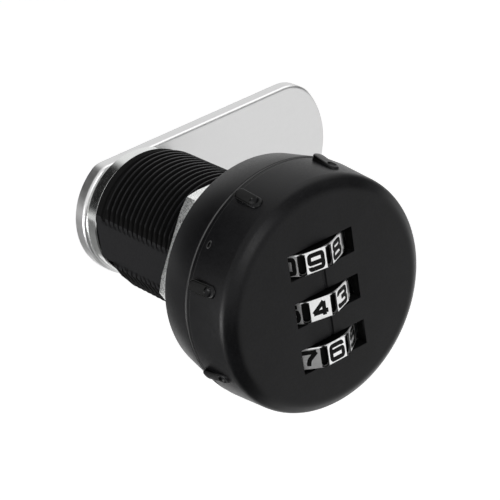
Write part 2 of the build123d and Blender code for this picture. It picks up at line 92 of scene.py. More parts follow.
# %% [markdown]
# A piece is made where the operator puts it and then settled, which moves its place into the mesh.
# Modifiers are applied at once, so that every later step meets a plain mesh. Tool pieces cut
# others and are thrown away.

# %% Settling, cutting and joining
def settle(piece):
    """Puts a piece's place into its mesh, so that its object sits at the origin."""
    only(piece)
    bpy.ops.object.transform_apply(location=True, rotation=True, scale=True)
    return piece


def finish_shape(piece, angle=32):
    """Merges doubles, turns the faces outwards and smooths all but the real edges."""
    edit(piece)
    bpy.ops.mesh.select_all(action="SELECT")
    bpy.ops.mesh.remove_doubles(threshold=0.000002)
    bpy.ops.mesh.normals_make_consistent(inside=False)
    close_edit()
    bpy.ops.object.shade_smooth_by_angle(angle=radians(angle))
    return piece


def apply_modifier(piece, kind, **settings):
    """Adds a modifier, sets it and applies it."""
    only(piece)
    modifier = piece.modifiers.new(kind.title(), kind)
    for key, value in settings.items():
        setattr(modifier, key, value)
    bpy.ops.object.modifier_apply(modifier=modifier.name)


def round_edges(piece, width, segments, angle):
    """Rounds every edge that is sharper than an angle."""
    apply_modifier(piece, "BEVEL", width=width * MM, segments=segments, limit_method="ANGLE",
                   angle_limit=radians(angle))


def carve(piece, tool, operation="DIFFERENCE"):
    """Cuts a piece with a tool piece, or keeps what both share, and throws the tool away."""
    apply_modifier(piece, "BOOLEAN", object=tool, operation=operation, solver="EXACT", use_self=True)
    bpy.data.objects.remove(tool, do_unlink=True)


def joined(name, pieces):
    """Makes one piece of several."""
    only(pieces[0])
    for other in pieces[1:]:
        other.select_set(True)
    bpy.ops.object.join()
    pieces[0].name = name
    return pieces[0]


def copy_of(piece, name):
    """A copy with its own mesh."""
    twin = piece.copy()
    twin.data = piece.data.copy()
    twin.name = name
    bpy.context.scene.collection.objects.link(twin)
    return twin


# %% [markdown]
# Most of the lock is turned or cast round. A turned piece starts as a ring of points, and the ring
# is extruded along the profile: moved along the axis and resized, again and again. The profile's
# corners are rounded before that, each by its own radius, because it is the small roundings that
# catch the light on a black lock.

# %% Turned pieces
def softened(points, steps=4):
    """Rounds each (radius, y, rounding) corner of a profile with a short arc."""
    out = []
    for i, (r, y, rounding) in enumerate(points):
        before, after = points[i - 1], points[(i + 1) % len(points)]
        here = Vector((r, y))
        a = Vector(before[:2]) - here
        b = Vector(after[:2]) - here
        if not rounding:
            out.append((r, y))
            continue
        half = a.angle(b) / 2
        reach = min(rounding / math.tan(half), a.length * 0.49, b.length * 0.49)
        centre = here + (a.normalized() + b.normalized()).normalized() * (reach / cos(half))
        start, end = here + a.normalized() * reach, here + b.normalized() * reach
        u, v = start - centre, end - centre
        turn = u.angle_signed(v)
        for k in range(steps + 1):
            out.append(tuple(centre + Matrix.Rotation(-turn * k / steps, 2) @ u))
    return out


def turned(name, points, steps=192):
    """A turned piece about the lock's axis from a closed (radius, y, rounding) profile."""
    profile = softened(points)
    r0, y0 = profile[0]
    bpy.ops.object.select_all(action="DESELECT")
    bpy.ops.mesh.primitive_circle_add(
        vertices=steps, radius=r0 * MM, location=(0, y0 * MM, 0), rotation=(radians(90), 0, 0)
    )
    piece = settle(bpy.context.object)
    piece.name = name
    edit(piece)
    bpy.ops.mesh.select_all(action="SELECT")
    r, y = r0, y0
    for r1, y1 in profile[1:] + [profile[0]]:
        bpy.ops.mesh.extrude_edges_move()
        bpy.ops.transform.resize(value=(r1 / r, 1, r1 / r), center_override=(0, y * MM, 0))
        bpy.ops.transform.translate(value=(0, (y1 - y) * MM, 0))
        r, y = r1, y1
    close_edit()
    return finish_shape(piece)


# %% [markdown]
# The cap is the part that the hand turns: a shallow die-cast cup with a flat face, a wide chamfer
# round it, sides that open a little towards the rear, and a thin step just before the seam. Its
# inner wall is turned in the same profile. All sizes are millimetres, and Y = 0 is the plane of
# the panel's front face.

# %% The cap's shell
FACE = -13.7
SEAM = -5.85
CAP_REAR = -5.95
CAP_END = CAP_REAR + 0.06
FACE_RADIUS, RIM_RADIUS, SIDE_RADIUS, STEP_RADIUS, CAP_BORE = 13.8, 15.3, 15.665, 15.53, 13.5
CAP_WALL = 1.6
NEAR_AXIS = 0.02
cap = turned("knob_cap_shell", [
    (NEAR_AXIS, FACE, 0),
    (FACE_RADIUS, FACE, 1.8),
    (RIM_RADIUS, FACE + 1.15, 1.3),
    (SIDE_RADIUS, CAP_REAR - 0.62, 0.05),
    (STEP_RADIUS, CAP_REAR - 0.5, 0),
    (STEP_RADIUS, CAP_END, 0.04),
    (CAP_BORE, CAP_END, 0),
    (CAP_BORE, FACE + CAP_WALL, 0.3),
    (NEAR_AXIS, FACE + CAP_WALL, 0),
])
print("cap shell", len(cap.data.polygons), "faces")

# %% [markdown]
# Three windows go through the face, a hollow behind each leaves room for its dial, and two shallow
# upright grooves between the windows mark the line on which the code is read. Boxes and upright
# rods do all the cutting. The stack of dials stands a little below the axis.

# %% Windows and index marks
PITCH, DROP = 6.45, 0.36
DIAL_HEIGHTS = (PITCH - DROP, -DROP, -PITCH - DROP)
AXLE_X, AXLE_Y = -0.6, FACE + 5.0
WINDOW_X = -0.13
HALF_WIDE, HALF_HIGH = 4.975, 1.7
DIAL_ROOM, HUB_ROOM = 6.5, 4.07
MARK_RADIUS, MARK_OUT = 0.3, 0.13


def box_tool(low, high):
    """A box between two corners, to cut with."""
    bpy.ops.object.select_all(action="DESELECT")
    middle = [(a + b) / 2 * MM for a, b in zip(low, high)]
    bpy.ops.mesh.primitive_cube_add(size=1, location=middle)
    tool = bpy.context.object
    tool.scale = [(b - a) * MM for a, b in zip(low, high)]
    return settle(tool)


def upright_rod(radius, low, high, x=AXLE_X, y=AXLE_Y, steps=96):
    """A round rod along Z, to cut with."""
    bpy.ops.object.select_all(action="DESELECT")
    bpy.ops.mesh.primitive_cylinder_add(
        vertices=steps, radius=radius * MM, depth=(high - low) * MM,
        location=(x * MM, y * MM, (low + high) / 2 * MM)
    )
    return settle(bpy.context.object)


for z in DIAL_HEIGHTS:
    carve(cap, box_tool((WINDOW_X - HALF_WIDE, FACE - 1, z - HALF_HIGH),
                        (WINDOW_X + HALF_WIDE, FACE + 3, z + HALF_HIGH)))
for z in DIAL_HEIGHTS[:2]:
    carve(cap, upright_rod(MARK_RADIUS, z - PITCH + HALF_HIGH, z - HALF_HIGH, x=WINDOW_X,
                           y=FACE - MARK_OUT, steps=24))
for z in DIAL_HEIGHTS:
    carve(cap, upright_rod(DIAL_ROOM, z - HALF_HIGH, z + HALF_HIGH))
carve(cap, upright_rod(HUB_ROOM, -9.6, 9.6))
print("cap with windows", len(cap.data.polygons), "faces")

# %% [markdown]
# Eight grip nubs stand round the side. One is modelled from a cube: its edges are bevelled until
# the plan is a slot, its top is tipped so that it is highest at the rear, its top edges are
# rounded, and a small dish is cut near the front with a ball.

# %% One grip nub
NUB_REAR, NUB_FRONT, NUB_WIDTH = CAP_REAR - 0.75, CAP_REAR - 5.05, 1.6
NUB_ROOT, NUB_TOP, NUB_TILT = 14.8, 16.35, 9.5
DISH_RADIUS = 0.8
nub = box_tool((NUB_ROOT, NUB_FRONT, -NUB_WIDTH / 2), (NUB_TOP, NUB_REAR, NUB_WIDTH / 2))
edit(nub, "EDGE")
pick(nub, "EDGE", lambda along: abs(along.x) > 0.9)
bpy.ops.mesh.bevel(offset=NUB_WIDTH / 2 * MM * 0.97, segments=8, affect="EDGES")
bpy.ops.mesh.select_all(action="DESELECT")
pick(nub, "FACE", lambda normal: normal.x > 0.9)
bpy.ops.transform.rotate(value=radians(NUB_TILT), orient_axis="Z",
                         center_override=(NUB_TOP * MM, NUB_REAR * MM, 0))
close_edit()
round_edges(nub, 0.22, 4, 40)
bpy.ops.object.select_all(action="DESELECT")
bpy.ops.mesh.primitive_uv_sphere_add(
    segments=32, ring_count=16, radius=DISH_RADIUS * MM,
    location=(16.3 * MM, (NUB_FRONT + 1.0) * MM, 0)
)
carve(nub, settle(bpy.context.object))
print("nub", len(nub.data.polygons), "faces", [round(v / MM, 2) for v in nub.dimensions])

# %% [markdown]
# Each nub on the cap is a copy of the first with its own mesh, turned about the axis by an eighth
# of a turn more than the last. Then they all become one piece with the shell, as in the casting.

# %% All nubs on the cap
NUBS, FIRST_NUB = 8, 22.5
nubs = []
for i in range(NUBS):
    twin = copy_of(nub, f"nub_{i}")
    twin.rotation_euler = (0, -radians(FIRST_NUB + 360 / NUBS * i), 0)
    nubs.append(settle(twin))
bpy.data.objects.remove(nub, do_unlink=True)
cap = joined("knob_cap_shell", [cap] + nubs)
print("cap with nubs", len(cap.data.polygons), "faces")

# %% [markdown]
# A small oval hole in the side takes the tool that changes the code. It is a short rod, flattened
# to an oval, laid along X and turned to its place about the axis. After this last cut the cap's
# sharp edges get the small rounding that a casting and its coat have.

# %% The tool's slot
SLOT_ANGLE, SLOT_Y, SLOT_RADIUS = 138.5, CAP_REAR - 1.5, 0.35
bpy.ops.object.select_all(action="DESELECT")
bpy.ops.mesh.primitive_cylinder_add(
    vertices=32, radius=SLOT_RADIUS * MM, depth=3 * MM, location=(15 * MM, SLOT_Y * MM, 0),
    rotation=(0, radians(90), 0)
)
slot_tool = bpy.context.object
slot_tool.scale = (1.3, 0.6, 1)
settle(slot_tool)
slot_tool.rotation_euler = (0, -radians(SLOT_ANGLE), 0)
settle(slot_tool)
carve(cap, slot_tool)
round_edges(cap, 0.07, 2, 50)
finish_shape(cap)
print("finished cap", len(cap.data.polygons), "faces")

# %% [markdown]
# Behind the seam sits the fixed base, cast in one with the barrel. It tapers to the rear, where
# its flat ring lies on the panel. Inside, one tapered notch takes the nose of the locking bar: a
# box whose outer face is drawn in cuts it.

# %% The base and the bar's notch
BASE_BORE, FLOOR = 12.8, -1.6
NECK, SPINDLE_ROOM = 8.8, 7.88
base = turned("base_and_barrel", [
    (BASE_BORE, SEAM, 0),
    (15.7, SEAM, 0.24),
    (14.6, 0, 0.25),
    (NECK, 0, 0),
    (NECK, 1.2, 0),
    (SPINDLE_ROOM, 1.5, 0),
    (SPINDLE_ROOM, FLOOR, 0),
    (BASE_BORE, FLOOR, 0),
])
NOTCH_ROOT, NOTCH_TIP, NOTCH_HALF, NOTCH_TAPER = 11.8, 13.72, 2.0, 0.6
notch = box_tool((NOTCH_ROOT, SEAM - 0.5, -NOTCH_HALF), (NOTCH_TIP, FLOOR, NOTCH_HALF))
edit(notch, "FACE")
pick(notch, "FACE", lambda normal: normal.x > 0.9)
bpy.ops.transform.resize(value=(1, 1, NOTCH_TAPER), center_override=(0, 0, 0))
close_edit()
carve(base, notch)
print("base", len(base.data.polygons), "faces")

# %% [markdown]
# The barrel's core is a plain tube that reaches the bottom of the thread, with a smooth band at
# its end where the thread has run out.

# %% The barrel's tube
BARREL_END, TUBE_BORE, THREAD_ROOT = 23.5, 5.58, 8.9
tube = turned("tube", [
    (TUBE_BORE, -0.5, 0),
    (THREAD_ROOT, -0.5, 0),
    (THREAD_ROOT, 21.9, 0),
    (9.1, 22.1, 0),
    (9.1, BARREL_END - 0.3, 0.1),
    (8.8, BARREL_END, 0),
    (TUBE_BORE, BARREL_END, 0),
])
print("tube", len(tube.data.polygons), "faces")

# %% [markdown]
# The thread is one tooth, six points of a flattened V, that a Screw modifier carries round and
# along. Its two open ends are closed by a face each, so that it is a solid of its own.

# %% The thread
THREAD_PITCH, TURNS, FIRST_TOOTH = 1.05, 20, 0.2
TOOTH = [(8.7, -0.46), (8.92, -0.44), (9.44, -0.1), (9.44, 0.1), (8.92, 0.44), (8.7, 0.46)]
bpy.ops.object.select_all(action="DESELECT")
bpy.ops.mesh.primitive_circle_add(vertices=len(TOOTH), radius=0.5 * MM,
                                  location=(9 * MM, FIRST_TOOTH * MM, 0))
thread = settle(bpy.context.object)
edit(thread)
mesh = bmesh.from_edit_mesh(thread.data)
for point, (r, y) in zip(mesh.verts, TOOTH):
    point.co = Vector((r, y + FIRST_TOOTH, 0)) * MM
bmesh.update_edit_mesh(thread.data)
close_edit()
apply_modifier(thread, "SCREW", axis="Y", angle=tau, screw_offset=THREAD_PITCH * MM,
               iterations=TURNS, steps=96, render_steps=96, use_merge_vertices=True,
               merge_threshold=0.000001)
edit(thread, "EDGE")
bpy.ops.mesh.select_non_manifold()
bpy.ops.mesh.edge_face_add()
close_edit()
finish_shape(thread, 40)
print("thread", len(thread.data.polygons), "faces", [round(v / MM, 2) for v in thread.dimensions])

# %% [markdown]
# Tube and thread are cut flat on two sides, so that the lock can't turn in its hole. Beside the
# flats the thread fades out, because the die that cut it only grazed the metal there: further
# cuts, a little less deep and turned by some degrees, take the crests down.

# %% Flats
HALF_FLATS = 8.4
FADES = ((16, 9.02), (-24, 9.04), (-34, 9.12))


def flatten(piece, reach, angle):
    """Cuts a piece flat at a distance from the axis, at an angle from +X towards +Z."""
    edit(piece)
    bpy.ops.mesh.select_all(action="SELECT")
    side = Vector((cos(radians(angle)), 0, sin(radians(angle))))
    bpy.ops.mesh.bisect(plane_co=side * reach * MM, plane_no=side, clear_outer=True, use_fill=True)
    close_edit()


for side in (0, 180):
    flatten(tube, HALF_FLATS, side)
    flatten(thread, HALF_FLATS, side)
    for fade, reach in FADES:
        flatten(thread, reach, side + (fade if side == 0 else -fade))
print("flats cut")

# %% [markdown]
# The barrel's end has a notch for the stop washer's tab, which lets the knob turn by a quarter.
# The tool is a disc that two cuts through its middle leave as a slice.

# %% Stop notch, and the barrel as one piece
NOTCH_FROM, NOTCH_TO = 198, 335


def slice_tool():
    """The slice between two angles that the stop washer's tab swings in."""
    bpy.ops.object.select_all(action="DESELECT")
    bpy.ops.mesh.primitive_cylinder_add(
        vertices=48, radius=12 * MM, depth=4 * MM, location=(0, (BARREL_END - 0.6) * MM, 0),
        rotation=(radians(90), 0, 0)
    )
    tool = settle(bpy.context.object)
    for angle, side in ((NOTCH_FROM, -1), (NOTCH_TO, 1)):
        edit(tool)
        bpy.ops.mesh.select_all(action="SELECT")
        across = (-side * sin(radians(angle)), 0, side * cos(radians(angle)))
        bpy.ops.mesh.bisect(plane_co=(0, 0, 0), plane_no=across, clear_outer=True, use_fill=True)
        close_edit()
    return tool


carve(tube, slice_tool())
carve(thread, slice_tool())
round_edges(tube, 0.06, 2, 50)
barrel = joined("base_and_barrel", [base, tube, thread])
finish_shape(barrel, 35)
print("base and barrel", len(barrel.data.polygons), "faces")

# %% [markdown]
# The nut is a hexagon from a six-sided cylinder. Its corners are turned off at both faces and its
# bore is made at the same time, as on a lathe: a turned ring with sloping rims is laid over the
# hexagon, and only what both share is kept.

# %% The nut
NUT_FRONT, NUT_REAR, NUT_BORE, NUT_TURN = 2.2, 4.8, 9.55, 30.7
NUT_CORNER = 10.8 / cos(radians(30))
bpy.ops.object.select_all(action="DESELECT")
bpy.ops.mesh.primitive_cylinder_add(
    vertices=6, radius=NUT_CORNER * MM, depth=2.6 * MM, location=(0, 3.5 * MM, 0),
    rotation=(radians(90), 0, 0)
)
nut = settle(bpy.context.object)
nut.name = "hex_nut"
nut.rotation_euler = (0, radians(NUT_TURN), 0)
settle(nut)
blank = turned("blank", [
    (NUT_BORE, NUT_FRONT, 0.25),
    (11.6, NUT_FRONT, 0),
    (12.6, 2.72, 0),
    (12.6, 4.28, 0),
    (11.6, NUT_REAR, 0),
    (NUT_BORE, NUT_REAR, 0.25),
])
carve(nut, blank, "INTERSECT")
round_edges(nut, 0.12, 3, 25)
finish_shape(nut, 30)
print("nut", len(nut.data.polygons), "faces", [round(v / MM, 2) for v in nut.dimensions])

# %% [markdown]
# The digits are wide and squarish with round corners. Each is drawn by a few strokes, as a pen
# would draw it; a curve that bends between its points rounds the corners by itself. Nine is six
# turned by half a turn.

# %% The digits' strokes
STROKES = {
    0: [[(-0.9, 0), (-0.9, 0.8), (-0.6, 0.8), (0.6, 0.8), (0.9, 0.8), (0.9, 0), (0.9, -0.8),
         (0.6, -0.8), (-0.6, -0.8), (-0.9, -0.8), (-0.9, 0)]],
    1: [[(-0.4, 0.5), (0.0, 0.65), (0.15, 0.8)], [(0.15, 0.8), (0.15, 0), (0.15, -0.8)]],
    2: [[(-0.9, 0.4), (-0.9, 0.8), (-0.4, 0.8), (0.4, 0.8), (0.9, 0.8), (0.9, 0.1), (0.3, -0.05),
         (-0.5, -0.2), (-0.9, -0.35), (-0.9, -0.8)],
        [(-0.9, -0.8), (0, -0.8), (0.9, -0.8)]],
    3: [[(-0.9, 0.45), (-0.9, 0.8), (-0.4, 0.8), (0.4, 0.8), (0.9, 0.8), (0.9, 0.05), (0.4, 0.03),
         (-0.2, 0.03)],
        [(0.4, 0.03), (0.9, 0.0), (0.9, -0.8), (0.4, -0.8), (-0.4, -0.8), (-0.9, -0.8),
         (-0.9, -0.45)]],
    4: [[(0.45, -0.8), (0.45, 0), (0.45, 0.8)], [(0.45, 0.8), (-0.2, 0.25), (-0.95, -0.35)],
        [(-0.95, -0.35), (0, -0.35), (0.95, -0.35)]],
    5: [[(0.85, 0.8), (0, 0.8), (-0.8, 0.8)], [(-0.8, 0.8), (-0.85, 0.5), (-0.9, 0.1)],
        [(-0.9, 0.1), (-0.4, 0.2), (0.4, 0.2), (0.9, 0.2), (0.9, -0.8), (0.4, -0.8), (-0.4, -0.8),
         (-0.9, -0.8), (-0.9, -0.5)]],
    6: [[(0.85, 0.5), (0.85, 0.8), (0.4, 0.8), (-0.4, 0.8), (-0.9, 0.8), (-0.9, 0), (-0.9, -0.8),
         (-0.4, -0.8), (0.4, -0.8), (0.9, -0.8), (0.9, -0.3), (0.9, 0.12), (0.4, 0.12),
         (-0.3, 0.12), (-0.9, 0.1)]],
    7: [[(-0.9, 0.8), (0, 0.8), (0.9, 0.8)], [(0.9, 0.8), (0.3, 0.2), (-0.1, -0.2), (-0.15, -0.8)]],
    8: [[(0, 0.03), (-0.8, 0.03), (-0.8, 0.8), (-0.3, 0.8), (0.3, 0.8), (0.8, 0.8), (0.8, 0.03),
         (0, 0.03)],
        [(0, 0.03), (-0.9, 0.03), (-0.9, -0.8), (-0.3, -0.8), (0.3, -0.8), (0.9, -0.8),
         (0.9, 0.03), (0, 0.03)]],
}
STROKES[9] = [[(-x, -y) for x, y in STROKES[6][0]]]
print(len(STROKES), "digits drawn")

# %% [markdown]
# A round pen that follows the strokes gives a digit of tube, and pressing the tube almost flat
# gives a thin plate with soft edges, like a raised print.

# %% One digit as a plate
PEN = 0.26
PRESSED = (1.03, 1.16, 0.08)


def digit_plate(value):
    """One digit as flat round-ended strokes, upright in the XY plane, its middle at the origin."""
    bpy.ops.object.select_all(action="DESELECT")
    bpy.ops.curve.primitive_nurbs_path_add()
    curve = bpy.context.object.data
    curve.splines.clear()
    for stroke in STROKES[value]:
        spline = curve.splines.new("NURBS")
        spline.points.add(len(stroke) - 1)
        for point, (x, y) in zip(spline.points, stroke):
            point.co = (x * MM, y * MM, 0, 1)
        spline.order_u = 3
        spline.use_endpoint_u = True
    curve.resolution_u = 5
    curve.bevel_depth = PEN * MM
    curve.bevel_resolution = 2
    curve.use_fill_caps = True
    bpy.ops.object.convert(target="MESH")
    plate = bpy.context.object
    edit(plate)
    bpy.ops.mesh.select_all(action="SELECT")
    bpy.ops.transform.resize(value=PRESSED, center_override=(0, 0, 0))
    close_edit()
    return plate


plates = [digit_plate(value) for value in range(10)]
print(len(plates), "plates")

# %% [markdown]
# Each dial keeps its solid from the part and gets ten plates, one on each flat face, turned with
# the face. The digits stand upright, and their value goes up by one to the left. A dial's row in
# the table is its height, the angle of its front face and the digit on it, as in the photograph.

# %% Digits on the dials
DIALS = {
    "top": (DIAL_HEIGHTS[0], -10, 9),
    "middle": (DIAL_HEIGHTS[1], -13, 4),
    "bottom": (DIAL_HEIGHTS[2], 1, 6),
}
FACET = 5.95
for name, (z, rest, front) in DIALS.items():
    ring = []
    for k in range(10):
        angle = radians(-90 + rest + 36 * k)
        twin = copy_of(plates[(front - k) % 10], f"digit_{k}")
        out = Vector((cos(angle), sin(angle), 0))
        twin.matrix_world = Matrix((
            (-sin(angle), 0, out.x, (AXLE_X + FACET * out.x) * MM),
            (cos(angle), 0, out.y, (AXLE_Y + FACET * out.y) * MM),
            (0, 1, 0, z * MM),
            (0, 0, 0, 1),
        ))
        ring.append(settle(twin))
    digits = joined(f"digits_{name}", ring)
    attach(digits, f"dial_{name}")
    print(digits.name, len(digits.data.polygons), "faces")
for plate in plates:
    bpy.data.objects.remove(plate, do_unlink=True)

# %% [markdown]
# The remodelled pieces take the place of their solids and move with their bodies: the cap turns
# with the knob, while the base with the barrel and the nut stay with the housing.

# %% Riding and replacing
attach(cap, "knob")
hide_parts("knob_cap")
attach(barrel, "housing")
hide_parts("housing")
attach(nut, "housing")
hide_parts("mounting_nut")
print("3 pieces replace their solids")

# %% [markdown]
# Finishes are node trees. A small class stands for a socket, so that masks can be worked out as
# plain sums in Python.

# %% Sockets that Python can do sums with
class Wire:
    """A value socket of one finish."""

    def __init__(self, finish, socket):
        self.finish, self.socket = finish, socket

    def sum(self, operation, *others, flip=False):
        values = [self, *others]
        if flip:
            values.reverse()
        return self.finish.node("ShaderNodeMath", {"operation": operation}, dict(enumerate(values)))

    def __add__(self, other):
        return self.sum("ADD", other)

    def __radd__(self, other):
        return self.sum("ADD", other, flip=True)

    def __sub__(self, other):
        return self.sum("SUBTRACT", other)

    def __rsub__(self, other):
        return self.sum("SUBTRACT", other, flip=True)

    def __mul__(self, other):
        return self.sum("MULTIPLY", other)


# %% [markdown]
# A finish holds a material and the one method that adds any other node with its settings and
# inputs. Constants are set on the shader's sockets; only what changes over the surface is linked.
# Patterns are laid out in each piece's own metres, so they keep their size and never slide.

# %% Finishes
class Finish:
    """A material, its Principled shader, and the one way that nodes are added to it."""

    def __init__(self, name, **constants):
        self.material = bpy.data.materials.new(name)
        self.material.use_nodes = True
        self.tree = self.material.node_tree
        self.shader = self.tree.nodes["Principled BSDF"]
        for key, value in constants.items():
            socket = key.replace("_", " ").title().replace("Ior", "IOR")
            self.shader.inputs[socket].default_value = value

    def node(self, kind, settings=None, inputs=None, out=0):
        """Adds a node: its settings first, then its inputs, and gives the socket asked for."""
        node = self.tree.nodes.new(kind)
        for key, value in (settings or {}).items():
            setattr(node, key, value)
        for key, value in (inputs or {}).items():
            if isinstance(value, Wire):
                self.tree.links.new(value.socket, node.inputs[key])
            else:
                node.inputs[key].default_value = value
        return Wire(self, node.outputs[out])

    def place(self):
        """Where a point is on the part, in metres."""
        return self.node("ShaderNodeTexCoord", out="Object")

    def along(self, axis):
        """One coordinate of the place."""
        return self.node("ShaderNodeSeparateXYZ", {}, {"Vector": self.place()}, out=axis)

    def noise(self, scale, detail=2.0, roughness=0.5):
        return self.node("ShaderNodeTexNoise", {}, {
            "Vector": self.place(), "Scale": scale, "Detail": detail, "Roughness": roughness})

    def vector(self, operation, a, b, out="Vector"):
        return self.node("ShaderNodeVectorMath", {"operation": operation}, {0: a, 1: b}, out=out)

    def length(self, vector):
        return self.node("ShaderNodeVectorMath", {"operation": "LENGTH"}, {0: vector}, out="Value")

    def blend(self, mask, a, b):
        """A colour that goes from a to b with a mask."""
        a, b = [(*colour, 1) if isinstance(colour, tuple) else colour for colour in (a, b)]
        return self.node("ShaderNodeMix", {"data_type": "RGBA"}, {0: mask, 6: a, 7: b}, out=2)

    def between(self, value, low, high, to_low=0.0, to_high=1.0):
        """Maps a value from one range to another, held at the ends."""
        return self.node("ShaderNodeMapRange", {"interpolation_type": "SMOOTHSTEP"}, {
            "Value": value, "From Min": low, "From Max": high, "To Min": to_low, "To Max": to_high})

    def band(self, value, start, full, fading, end):
        """A mask that is whole from one value to another and fades outside them."""
        return self.between(value, start, full) * (1 - self.between(value, fading, end))

    def drive(self, **wires):
        """Links what changes over the surface to the shader."""
        for key, wire in wires.items():
            self.tree.links.new(wire.socket, self.shader.inputs[key.replace("_", " ").title()])

    def bump(self, height, distance):
        self.drive(normal=self.node("ShaderNodeBump", {}, {"Height": height, "Distance": distance}))


def dress(target, finish):
    """Gives a piece or CAD node one finish."""
    target.data.materials.clear()
    target.data.materials.append(finish.material)


# %% [markdown]
# The black is a fine powder coat: satin and nearly even. First come the masks, all worked out from
# the place on the part. Painted highlights are pale lines at the seam, at the step before it and
# round the tool's slot; painted shade is a deeper black on the windows' walls, in the thread's
# grooves and on the nubs; painted light makes the flats a shade paler. The walls and grooves are
# also duller, and the nubs smoother.

# %% Masks on the black paint
paint = Finish("black_paint", specular_ior_level=0.17)
axial = paint.along("Y")
sideways = paint.along("X").sum("ABSOLUTE")
radial = paint.length(paint.vector("MULTIPLY", paint.place(), (1, 0, 1)))


def line_at(y, half, reach):
    """A fine line round the lock at one level, outside a radius, where a painted highlight goes."""
    away = (axial - y * MM).sum("ABSOLUTE")
    fine_line = 1 - paint.between(away, half * 0.4 * MM, half * MM)
    return fine_line * paint.between(radial, (reach - 0.04) * MM, reach * MM)


slot_place = Vector((15.62 * cos(radians(SLOT_ANGLE)), SLOT_Y, 15.62 * sin(radians(SLOT_ANGLE))))
from_slot = paint.vector("SUBTRACT", paint.place(), slot_place * MM)
oval = paint.length(paint.vector("MULTIPLY", from_slot, (2.3, 4.0, 2.3)))
slot_highlight = paint.band(oval, 0.95 * MM, 1.05 * MM, 1.15 * MM, 1.25 * MM)
# Painted highlights: a pale line at the seam's edge, a fainter one at the step, and one round the
# slot.
edges = line_at(SEAM + 0.05, 0.09, 15.5) * 0.7 + line_at(CAP_REAR - 0.62, 0.07, 15.6) * 0.25
edges = edges + slot_highlight * 0.7

# Painted shade on the windows' walls, a deeper black where the hollow is dark.
inside = paint.between(axial, (FACE + 0.15) * MM, (FACE + 0.6) * MM)
inside = inside * (1 - paint.between(radial, 9.0 * MM, 9.4 * MM))
# The nubs: painted shade as a deeper black, and a smoother coat.
proud = paint.between(radial, 15.75 * MM, 15.85 * MM)
behind = paint.between(axial, 0.0, 0.2 * MM)
# Painted light on the barrel's two flats, a paler black.
flats = behind * paint.band(sideways, 8.36 * MM, 8.38 * MM, 8.42 * MM, 8.44 * MM)
flats = flats * (1 - paint.between(axial, (BARREL_END - 0.1) * MM, BARREL_END * MM))
# Painted shade in the thread's grooves, between the crests.
groove = behind * (1 - paint.between(radial, 9.3 * MM, 9.42 * MM)) * (1 - flats)
print("paint masks ready")

# %% [markdown]
# Then the masks and two sizes of grain become the colour and the gloss. The fine grain of about a
# quarter of a millimetre also lifts the surface a little, which only shows where light grazes it.

# %% Black paint
BLACK_LOW, BLACK_HIGH = (0.003, 0.003, 0.0035), (0.008, 0.008, 0.009)
# A painted shade black for the windows' walls, grooves and nubs, and a painted light black for the
# flats.
PAINTED_SHADE_BLACK, PAINTED_LIGHT_BLACK = (0.0015, 0.0015, 0.0015), (0.014, 0.014, 0.015)
# The pale grey of the painted highlights on the edges.
PAINTED_HIGHLIGHT_GREY = (0.15, 0.15, 0.15)
grain = paint.noise(4200, 3.0, 0.6)
cloud = paint.noise(260)
# The coat's colour: grain first, then painted shade and painted light mixed in.
paint_colour = paint.blend(paint.between(grain * 0.6 + cloud * 0.4, 0.35, 0.7), BLACK_LOW, BLACK_HIGH)
# Painted shade: the deeper black on the windows' walls, in the grooves and on the nubs.
paint_colour = paint.blend((groove + inside + proud).sum("MINIMUM", 1.0), paint_colour, PAINTED_SHADE_BLACK)
# Painted light: the flats a shade paler.
paint_colour = paint.blend(flats, paint_colour, PAINTED_LIGHT_BLACK)
gloss = paint.between(grain, 0.3, 0.7, 0.33, 0.43)
# The painted highlights lay pale grey over the black.
paint.drive(
    base_color=paint.blend(edges, paint_colour, PAINTED_HIGHLIGHT_GREY),
    roughness=gloss + (inside + groove) * 0.5 - proud * 0.17,
)
paint.bump(grain, 0.000006)
dress(cap, paint)
dress(barrel, paint)
print("black paint on the cap and the barrel")

# %% [markdown]
# The nut and the small screws are barrel-plated with zinc, which leaves a fine crystalline
# sparkle: grains of two brightnesses, each with its own gloss. The washers and the cam's screw
# are plated over polished steel, so they mirror more and vary less.

# %% Zinc plate on the nut, screws and washers
zinc = Finish("zinc_plate", metallic=1.0)
fine = zinc.noise(5500, 3.0, 0.6)
zinc.drive(
    base_color=zinc.blend(zinc.between(fine, 0.42, 0.58), (0.62, 0.63, 0.62), (0.92, 0.93, 0.92)),
    roughness=zinc.between(fine, 0.3, 0.7, 0.26, 0.42),
)
zinc.bump(fine, 0.00003)
polished = Finish("polished_zinc", metallic=1.0)
haze = polished.noise(1200)
polished.drive(
    base_color=polished.blend(haze, (0.66, 0.67, 0.66), (0.74, 0.75, 0.74)),
    roughness=polished.between(haze, 0.3, 0.7, 0.13, 0.20),
)
print("zinc finishes ready")

# %% [markdown]
# The cam is stamped from nickel-plated sheet. Rolling and tumbling leave it satin, with a very
# slight cloudiness and no grain that could be felt.

# %% Satin sheet steel of the cam
sheet = Finish("cam_sheet", metallic=1.0)
roll = sheet.noise(1500, 3.0, 0.6)
sheet.drive(
    base_color=sheet.blend(roll, (0.62, 0.62, 0.62), (0.67, 0.67, 0.67)),
    roughness=sheet.between(roll, 0.3, 0.7, 0.34, 0.40),
)
print("cam finish ready")

# %% [markdown]
# A dial is satin silver on its ten faces and near black nearer its axle: black paint in the slots
# between the faces, and painted shade on its flat sides, which lie in the dark behind the windows.
# The distance from the dial's axle tells the two apart. The digits are dull black ink.

